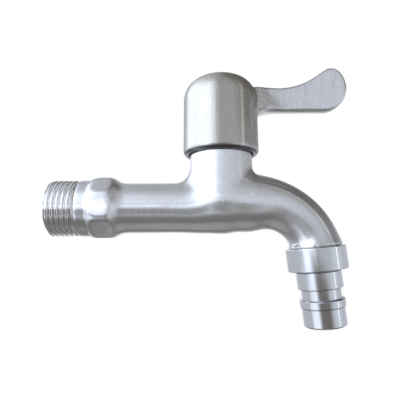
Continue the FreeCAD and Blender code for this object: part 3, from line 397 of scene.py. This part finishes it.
threadSteel = makeMetal("threadSteel", metalSkin, {
    "skin": {"Tone": (0.78, 0.77, 0.76, 1), "StainTone": (0.7, 0.68, 0.66, 1),
             "BaseRoughness": 0.15, "RoughnessSwing": 0.06,
             "LineScale": (2600.0, 300.0, 300.0), "LineDepth": 0.3,
             "WaveScale": 240.0, "WaveDepth": 0.1},
    "bump": 0.1, "bumpDistance": 0.03 * mm, "anisotropic": 0.0,
    "gloss": 0.8, "glossRoughness": 0.05,
    "turn": (0.0, 1.0), "stretch": ((1.0, 0.0, 0.0), (1.0, 0.0, 0.0))})

cartridgeBrass = makeMetal("cartridgeBrass", metalSkin, {
    "skin": {"Tone": (0.78, 0.6, 0.3, 1), "StainTone": (0.68, 0.5, 0.24, 1),
             "BaseRoughness": 0.25, "RoughnessSwing": 0.08,
             "LineScale": (300.0, 300.0, 3800.0), "LineDepth": 0.8,
             "WaveScale": 60.0, "WaveDepth": 0.2},
    "bump": 0.3, "bumpDistance": 0.05 * mm, "anisotropic": 0.6,
    "gloss": 0.3, "glossRoughness": 0.1,
    "turn": (0.0, 1.0), "stretch": ((0.0, 0.0, 1.0), (0.0, 0.0, 1.0))})

plainSkin = makePlainSkinGroup()

screwSteel = makePlain("screwSteel", plainSkin, {
    "skin": {"Scale": 900.0, "Tone": (0.6, 0.61, 0.63, 1), "SecondTone": (0.52, 0.52, 0.53, 1),
             "BaseRoughness": 0.2, "RoughnessSwing": 0.15},
    "bump": 0.2, "bumpDistance": 0.03 * mm, "metallic": 1.0, "shine": 0.5})
ceramic = makePlain("ceramic", plainSkin, {
    "skin": {"Scale": 700.0, "Tone": (0.9, 0.9, 0.87, 1), "SecondTone": (0.84, 0.83, 0.8, 1),
             "BaseRoughness": 0.25, "RoughnessSwing": 0.1},
    "bump": 0.1, "bumpDistance": 0.03 * mm, "metallic": 0.0, "shine": 0.6})
whitePlastic = makePlain("whitePlastic", plainSkin, {
    "skin": {"Scale": 500.0, "Tone": (0.86, 0.86, 0.83, 1), "SecondTone": (0.8, 0.8, 0.77, 1),
             "BaseRoughness": 0.4, "RoughnessSwing": 0.15},
    "bump": 0.2, "bumpDistance": 0.03 * mm, "metallic": 0.0, "shine": 0.4})
blackRubber = makePlain("blackRubber", plainSkin, {
    "skin": {"Scale": 1200.0, "Tone": (0.03, 0.03, 0.03, 1),
             "SecondTone": (0.05, 0.05, 0.048, 1), "BaseRoughness": 0.6, "RoughnessSwing": 0.2},
    "bump": 0.4, "bumpDistance": 0.03 * mm, "metallic": 0.0, "shine": 0.3})
print("materials ready")


# Inlet thread: a threaded sleeve, made from a cylinder's grid
inletThread = {
    "end": -8.2, "foot": 2.8, "crest": 10.48, "depth": 1.0, "bore": 6.75,
    "pitch": 1.814, "rootFlat": 0.1, "flank": 0.6, "lead": 0.75,
    "threadEnd": 1.8, "runOut": 0.9, "runOutDepth": 0.45,
    "segments": 128, "rowsPerPitch": 18, "crease": 50,
}


def threadRadius(x, turn, size):
    # rounded V profile along the helix, fading out at the lead and the run-out
    phase = ((x - size["end"]) / size["pitch"] - turn) % 1.0
    tooth = eased(clamped((abs(phase * 2.0 - 1.0) - size["rootFlat"]) / size["flank"]))
    radius = size["crest"] - size["depth"] + size["depth"] * tooth
    radius = min(radius, size["crest"] - size["lead"] + (x - size["end"]))
    fade = clamped((x - size["threadEnd"]) / size["runOut"])
    return radius + (size["crest"] - size["runOutDepth"] - radius) * fade


def setRadius(vert, radius):
    # moves a vertex straight out from the X axis
    ring = Vector((0, vert.co.y, vert.co.z)).normalized()
    vert.co = Vector((vert.co.x, 0, 0)) + ring * (radius * mm)


def makeInletThread(size):
    length = size["foot"] - size["end"]
    bpy.ops.mesh.primitive_cylinder_add(
        vertices=size["segments"], radius=size["crest"] * mm, depth=length * mm,
        location=((size["end"] + size["foot"]) / 2 * mm, 0, 0),
        rotation=(0, math.pi / 2, 0), end_fill_type="NOTHING")
    piece = bpy.context.active_object
    piece.name = "inlet_thread_sleeve"
    settle(piece)
    mesh = bmesh.new()
    mesh.from_mesh(piece.data)
    along = [e for e in mesh.edges
             if abs(e.verts[0].co.x - e.verts[1].co.x) > length * 0.5 * mm]
    rows = int(length / size["pitch"] * size["rowsPerPitch"])
    bmesh.ops.subdivide_edges(mesh, edges=along, cuts=rows, use_grid_fill=True)
    for vert in mesh.verts:
        turn = math.atan2(vert.co.y, vert.co.z) / (2 * math.pi)
        setRadius(vert, threadRadius(vert.co.x / mm, turn, size))
    # both rims are drawn in to the bore, and the bore joins them
    rims = [e for e in mesh.edges if e.is_boundary]
    tolerance = 0.01 * mm
    for x in (size["end"], size["foot"]):
        rim = [e for e in rims if abs(e.verts[0].co.x - x * mm) < tolerance]
        grown = bmesh.ops.extrude_edge_only(mesh, edges=rim)["geom"]
        for vert in (v for v in grown if isinstance(v, bmesh.types.BMVert)):
            setRadius(vert, size["bore"])
    bmesh.ops.bridge_loops(mesh, edges=[e for e in mesh.edges if e.is_boundary])
    bmesh.ops.recalc_face_normals(mesh, faces=mesh.faces[:])
    mesh.to_mesh(piece.data)
    mesh.free()
    softShade(piece, size["crease"])
    return piece


threadSleeve = makeInletThread(inletThread)
finishPiece(threadSleeve, "tap", "body_steel", threadSteel)
print("inlet thread cut")


# Cast body: shoulder, spanner flats, pipe, neck and swan neck
castShape = {
    "voxel": 0.47, "evenSteps": 6, "crease": 60,
    "flowCentre": (58.0, 6.0), "flowReach": (27.0, 20.0), "flowFade": 0.5,
    "flowFloor": (-6.0, 0.0), "flowSteps": 200,
    "softEdge": (2.0, 5.0), "softSteps": 50,
    "bellyCentre": 58.0, "bellyReach": 21.0, "bellyFade": 0.6, "bellyTop": (3.0, 8.0),
    "bellySteps": 150, "bellySwell": 0.5,
    "flats": (6.0, 25.0), "flatsSteps": 6,
    "chamber": 10.3, "chamberFloor": -1.0, "waterway": 7.6,
}


def castWeights(x, y, z, size):
    # how far each smoothing reaches, and nothing for the chamber and the waterways
    inChamber = math.hypot(x - handleAxis, y) < size["chamber"] and z > size["chamberFloor"]
    if inChamber or math.hypot(y, z) < size["waterway"]:
        return 0.0, 0.0, 0.0, 0.0
    centreX, centreZ = size["flowCentre"]
    reachX, reachZ = size["flowReach"]
    outside = math.hypot((x - centreX) / reachX, (z - centreZ) / reachZ)
    low, high = size["flowFloor"]
    flow = clamped((1.0 - outside) / size["flowFade"]) * clamped((z - low) / (high - low))
    near, far = size["softEdge"]
    soft = flow * clamped((abs(y) - near) / (far - near))
    outside = abs(x - size["bellyCentre"]) / size["bellyReach"]
    low, high = size["bellyTop"]
    belly = clamped((1.0 - outside) / size["bellyFade"]) * clamped((high - z) / (high - low))
    start, end = size["flats"]
    return flow, soft, eased(belly), 1.0 if start < x < end else 0.0


def makeCastBody(size):
    piece = copyOfNode("tap_body", "cast_body")
    evenMesh(piece, size["voxel"], size["evenSteps"])
    groups = [piece.vertex_groups.new(name=name) for name in ("flow", "soft", "belly", "flats")]
    for vert in piece.data.vertices:
        weights = castWeights(*(c / mm for c in vert.co), size)
        for group, weight in zip(groups, weights):
            group.add([vert.index], weight, "REPLACE")
    # the neck flows into the pipe and the spout as on a ground casting, and polishing
    # has rolled the edges of the spanner flats
    smoothGroup(piece, "flow", size["flowSteps"], sideways=True)
    smoothGroup(piece, "soft", size["softSteps"])
    smoothGroup(piece, "belly", size["bellySteps"])
    smoothGroup(piece, "flats", size["flatsSteps"])
    # smoothing shrinks the belly a little, so it is let out again
    swell = piece.modifiers.new("swell", "DISPLACE")
    swell.strength = size["bellySwell"] * mm
    swell.mid_level = 0.0
    swell.vertex_group = "belly"
    applyAll(piece)
    piece.vertex_groups.clear()
    cutAway(piece, (inletThread["foot"] * mm, 0, 0), (-1, 0, 0))
    softShade(piece, size["crease"])
    return piece


castBody = makeCastBody(castShape)
finishPiece(castBody, "tap", "body_steel", bodySteel, "tap_body")
print("cast body done", len(castBody.data.polygons))


# Handle: dome, skirt and lever
handleShape = {
    "voxel": 0.36, "evenSteps": 4, "crease": 60,
    "dome": 14.35, "leverFloor": 30.0,
    "flareStart": 69.0, "flareDepth": 1.3, "flareCore": 1.5,
    "flareLow": (35.0, 15.0), "flareHigh": (45.0, 5.0),
    "rootCentre": (70.0, 39.5), "rootReach": (8.0, 9.0), "rootFade": 0.4, "rootSteps": 120,
    "hollow": 12.6, "hollowTop": 48.0,
}


def leverFlare(x, y, z, size):
    # the lever grows thicker towards the dome, further out along its lower edge
    if math.hypot(x - handleAxis, y) <= size["dome"] or z <= size["leverFloor"]:
        return 0.0
    (lowZ, lowRun), (highZ, highRun) = size["flareLow"], size["flareHigh"]
    run = lowRun + (highRun - lowRun) * clamped((z - lowZ) / (highZ - lowZ))
    flare = size["flareDepth"] * eased(clamped(1.0 - (x - size["flareStart"]) / run))
    return math.copysign(flare, y) * min(abs(y) / size["flareCore"], 1.0)


def rootWeight(x, y, z, size):
    # where lever and dome flow into each other, and nothing for the hollow inside
    if math.hypot(x - handleAxis, y) < size["hollow"] and z < size["hollowTop"]:
        return 0.0
    centreX, centreZ = size["rootCentre"]
    reachX, reachZ = size["rootReach"]
    outside = math.hypot((x - centreX) / reachX, (z - centreZ) / reachZ)
    return clamped((1.0 - outside) / size["rootFade"])


def makeHandle(size):
    piece = copyOfNode("handle", "handle_casting")
    evenMesh(piece, size["voxel"], size["evenSteps"])
    root = piece.vertex_groups.new(name="root")
    for vert in piece.data.vertices:
        place = [c / mm for c in vert.co]
        vert.co.y += leverFlare(*place, size) * mm
        root.add([vert.index], rootWeight(*place, size), "REPLACE")
    smoothGroup(piece, "root", size["rootSteps"], sideways=True)
    applyAll(piece)
    piece.vertex_groups.clear()
    softShade(piece, size["crease"])
    return piece


handleCasting = makeHandle(handleShape)
finishPiece(handleCasting, "turning_parts", "handle_steel", handleSteel, "handle")
print("handle done", len(handleCasting.data.polygons))


# Nozzle: turned collar and stepped spigot. Each step is run from the spout's end
# and radius; every corner gets a fine turned edge
nozzleShape = {
    "end": (90.168, 0.0, -14.751), "tilt": 5.58, "segments": 160, "crease": 60,
    "edge": 0.22, "edgeShare": 0.3, "edgeSteps": 3, "support": 1.25,
    "outside": ((0.3, 9.05), (0.3, 11.06), (8.5, 11.06), (8.5, 7.9), (9.2, 7.9),
                (9.2, 8.25), (15.2, 8.25), (15.2, 7.21), (19.2, 7.21), (19.2, 8.22),
                (21.9, 8.22), (21.9, 7.73), (28.35, 7.73), (28.8, 7.28), (28.8, 5.7)),
    "inside": ((6.7, 5.7), (6.7, 9.05)),
}


def turnedOutline(corners, size):
    # rounds every corner of a closed outline and puts support rings beside it
    rings = []
    for index, corner in enumerate(corners):
        here = Vector(corner)
        before = Vector(corners[index - 1]) - here
        after = Vector(corners[(index + 1) % len(corners)]) - here
        reach = min(size["edge"], before.length * size["edgeShare"],
                    after.length * size["edgeShare"])
        before, after = before.normalized() * reach, after.normalized() * reach
        rings.append(here + before * size["support"])
        for step in range(size["edgeSteps"] + 1):
            t = step / size["edgeSteps"]
            rings.append((here + before) * (1 - t) ** 2 + here * 2 * t * (1 - t)
                         + (here + after) * t ** 2)
        rings.append(here + after * size["support"])
    return rings


def makeNozzle(size):
    # a circle is drawn out ring by ring along +Z, then set on the nozzle's axis
    rings = turnedOutline(size["outside"] + size["inside"], size)
    clearSelection()
    first = rings[0]
    bpy.ops.mesh.primitive_circle_add(vertices=size["segments"], radius=first.y * mm,
                                      location=(0, 0, -first.x * mm))
    piece = bpy.context.active_object
    piece.name = "turned_nozzle"
    settle(piece)
    bpy.ops.object.mode_set(mode="EDIT")
    bpy.ops.mesh.select_all(action="SELECT")
    for before, ring in zip(rings, rings[1:] + rings[:1]):
        growth = ring.y / before.y
        bpy.ops.mesh.extrude_region_move(
            TRANSFORM_OT_translate={"value": (0, 0, (before.x - ring.x) * mm)})
        bpy.ops.transform.resize(value=(growth, growth, 1))
    bpy.ops.mesh.select_all(action="SELECT")
    bpy.ops.mesh.remove_doubles(threshold=0.001 * mm)
    bpy.ops.mesh.normals_make_consistent(inside=False)
    bpy.ops.object.mode_set(mode="OBJECT")
    piece.rotation_euler = (0, -math.radians(size["tilt"]), 0)
    piece.location = [c * mm for c in size["end"]]
    settle(piece)
    softShade(piece, size["crease"])
    return piece


turnedNozzle = makeNozzle(nozzleShape)
finishPiece(turnedNozzle, "tap", "nozzle_steel", nozzleSteel, "hose_nozzle")
print("nozzle done", len(turnedNozzle.data.polygons))


# The small pieces keep their CAD meshes
smallPieces = {
    "screw_cap": handleSteel, "cartridge_housing": cartridgeBrass, "spindle": cartridgeBrass,
    "spline_insert": cartridgeBrass, "spindle_clip": screwSteel, "screw_washer": screwSteel,
    "handle_screw": screwSteel, "fixed_disc": ceramic, "moving_disc": ceramic,
    "glide_washer": whitePlastic, "nozzle_gasket": blackRubber,
    "housing_gasket": blackRubber, "seat_seal": blackRubber,
    "lower_o_ring": blackRubber, "upper_o_ring": blackRubber,
}
for nodeName, material in smallPieces.items():
    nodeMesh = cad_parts[nodeName].data
    nodeMesh.materials.clear()
    nodeMesh.materials.append(material)
print("small pieces dressed")


# Studio: white behind the tap, an even room and a few soft sources.
# A bearing is in degrees, 0 towards the camera's side and 90 towards +X, and a source
# fades out between the two angles of its spread. Edges are the Z of a direction
studio = {
    "ground": 0.2, "room": 0.66, "ceiling": 0.5,
    "groundEdge": (-0.75, -0.3), "ceilingEdge": (0.2, 0.95),
    "sources": {
        "dimCorner": {"bearing": 110, "spread": (20, 80), "low": (0.1, 0.4),
                      "high": (1.2, 1.3), "level": 0.15},
        "window": {"bearing": -75, "spread": (35, 68), "low": (-0.1, -0.02),
                   "high": (0.6, 1.0), "level": 2.05},
        "lowWindow": {"bearing": -40, "spread": (12, 30), "low": (-0.35, -0.1),
                      "high": (-0.08, 0.0), "level": 1.7},
        "sill": {"bearing": -55, "spread": (10, 32), "low": (-0.65, -0.5),
                 "high": (-0.35, -0.1), "level": 1.4},
        "cameraSide": {"bearing": -5, "spread": (15, 42), "low": (-0.6, -0.45),
                       "high": (-0.15, -0.05), "level": 0.2},
        "rightPanel": {"bearing": 62, "spread": (5, 30), "low": (-0.3, -0.15),
                       "high": (0.0, 0.2), "level": 0.85}},
    "coolTint": (0.9, 0.985, 1.14), "warmTint": (1.04, 1.0, 0.98), "tintTurn": (0.1, 0.9),
    "whiteCone": 0.93,
}


def grey(level):
    return (level, level, level, 1)


def addSource(tree, light, flat, z, source):
    bearing = math.radians(source["bearing"])
    inner, outer = (math.cos(math.radians(angle)) for angle in source["spread"])
    facing = addVectorMath(tree, "DOT_PRODUCT", flat, (math.sin(bearing), -math.cos(bearing), 0))
    mask = softStep(tree, facing, outer, inner)
    mask = addMath(tree, "MULTIPLY", mask, softStep(tree, z, *source["low"]))
    mask = addMath(tree, "MULTIPLY", mask, softStep(tree, z, *source["high"], rising=False))
    return mixColor(tree, mask, light, grey(source["level"]))


def makeWorld(look):
    world = bpy.data.worlds.new("studioWorld")
    bpy.context.scene.world = world
    world.use_nodes = True
    tree = world.node_tree
    tree.nodes.clear()
    link = tree.links.new
    direction = tree.nodes.new("ShaderNodeTexCoord").outputs["Generated"]
    split = tree.nodes.new("ShaderNodeSeparateXYZ")
    link(direction, split.inputs[0])
    z = split.outputs["Z"]
    light = mixColor(tree, softStep(tree, z, *look["groundEdge"]),
                     grey(look["ground"]), grey(look["room"]))
    light = mixColor(tree, softStep(tree, z, *look["ceilingEdge"]), light, grey(look["ceiling"]))
    flat = addVectorMath(tree, "NORMALIZE", addVectorMath(tree, "MULTIPLY", direction, (1, 1, 0)))
    for source in look["sources"].values():
        light = addSource(tree, light, flat, z, source)
    tint = mixColor(tree, softStep(tree, light, *look["tintTurn"]),
                    (*look["warmTint"], 1), (*look["coolTint"], 1))
    room = tree.nodes.new("ShaderNodeBackground")
    link(addVectorMath(tree, "MULTIPLY", light, tint), room.inputs["Color"])
    white = addNode(tree, "ShaderNodeBackground", Color=(1, 1, 1, 1))
    # the white behind the tap also shows in its metal, inside the picture's cone
    path = tree.nodes.new("ShaderNodeLightPath").outputs
    ahead = addMath(tree, "GREATER_THAN", split.outputs["Y"], look["whiteCone"])
    shiny = addMath(tree, "MAXIMUM", path["Is Glossy Ray"], path["Is Transmission Ray"])
    seen = addMath(tree, "MAXIMUM", path["Is Camera Ray"],
                   addMath(tree, "MULTIPLY", shiny, ahead))
    mix = tree.nodes.new("ShaderNodeMixShader")
    link(seen, mix.inputs["Fac"])
    link(room.outputs[0], mix.inputs[1])
    link(white.outputs[0], mix.inputs[2])
    output = tree.nodes.new("ShaderNodeOutputWorld")
    link(mix.outputs[0], output.inputs["Surface"])


makeWorld(studio)

tapMiddle = (0.05, 0, 0.01)
stripLamps = {
    "sillLine": {"place": (-0.3, -0.42, 0.055), "target": tapMiddle,
                 "size": (0.8, 0.006), "radiance": 5.0, "color": (1, 1, 1)},
    "railLine": {"place": (-0.3, -0.42, 0.265), "target": tapMiddle,
                 "size": (0.8, 0.006), "radiance": 2.0, "color": (1, 1, 1)},
    "rightStrip": {"place": (0.5, -0.2, 0.35), "target": (0.05, 0, 0.35),
                   "size": (0.03, 1.3), "radiance": 0.9, "color": (1.0, 1.0, 0.97)},
}


def addStripLamp(name, look):
    light = bpy.data.lights.new(name, "AREA")
    light.shape = "RECTANGLE"
    width, height = look["size"]
    light.size, light.size_y = width, height
    light.energy = look["radiance"] * math.pi * width * height
    light.color = look["color"]
    lamp = bpy.data.objects.new(name, light)
    bpy.context.scene.collection.objects.link(lamp)
    lamp.location = look["place"]
    aim = Vector(look["target"]) - Vector(look["place"])
    lamp.rotation_euler = aim.to_track_quat("-Z", "Y").to_euler()


for lampName, lampLook in stripLamps.items():
    addStripLamp(lampName, lampLook)

floorLook = {"centre": (0.05, 0.05, -0.30), "radius": 0.17, "fade": (0.09, 0.17),
             "color": (0.55, 0.51, 0.48, 1), "segments": 96}


def addFloor(look):
    # a pale round floor that fades out towards its rim
    bpy.ops.mesh.primitive_circle_add(vertices=look["segments"], radius=look["radius"],
                                      fill_type="NGON", location=look["centre"])
    floor = bpy.context.active_object
    floor.name = "studio_floor"
    paint = bpy.data.materials.new("floorPaint")
    paint.use_nodes = True
    tree = paint.node_tree
    tree.nodes.clear()
    place = tree.nodes.new("ShaderNodeTexCoord").outputs["Object"]
    pale = addNode(tree, "ShaderNodeBsdfDiffuse", Color=look["color"])
    clear = tree.nodes.new("ShaderNodeBsdfTransparent")
    mix = tree.nodes.new("ShaderNodeMixShader")
    reach = addVectorMath(tree, "LENGTH", place)
    tree.links.new(softStep(tree, reach, *look["fade"]), mix.inputs["Fac"])
    tree.links.new(pale.outputs[0], mix.inputs[1])
    tree.links.new(clear.outputs[0], mix.inputs[2])
    output = tree.nodes.new("ShaderNodeOutputMaterial")
    tree.links.new(mix.outputs[0], output.inputs["Surface"])
    floor.data.materials.append(paint)


addFloor(floorLook)

# Camera where the photograph's was: angles in degrees, and the focal length and the
# picture's width in pixels
cameraFit = {"place": (45.872, -137.442, -13.031), "pitch": 6.654, "yaw": 0.605,
             "roll": -0.413, "focal": 364.241, "pictureWidth": 400,
             "sensor": 36.0, "clipStart": 5.0}


def addCamera(fit):
    data = bpy.data.cameras.new("productCamera")
    data.sensor_width = fit["sensor"]
    data.lens = fit["focal"] * fit["sensor"] / fit["pictureWidth"]
    data.clip_start = fit["clipStart"] * mm
    camera = bpy.data.objects.new("productCamera", data)
    bpy.context.scene.collection.objects.link(camera)
    pitch, yaw, roll = (math.radians(fit[key]) for key in ("pitch", "yaw", "roll"))
    ahead = Vector((math.sin(yaw) * math.cos(pitch), math.cos(yaw) * math.cos(pitch),
                    math.sin(pitch)))
    level = Vector((math.cos(yaw), -math.sin(yaw), 0))
    upright = level.cross(ahead)
    right = level * math.cos(roll) + upright * math.sin(roll)
    up = upright * math.cos(roll) - level * math.sin(roll)
    x, y, z = (c * mm for c in fit["place"])
    camera.matrix_world = Matrix(((right.x, up.x, -ahead.x, x), (right.y, up.y, -ahead.y, y),
                                  (right.z, up.z, -ahead.z, z), (0, 0, 0, 1)))
    bpy.context.scene.camera = camera


addCamera(cameraFit)
bpy.context.scene.view_settings.view_transform = "Standard"
print("studio and camera ready")
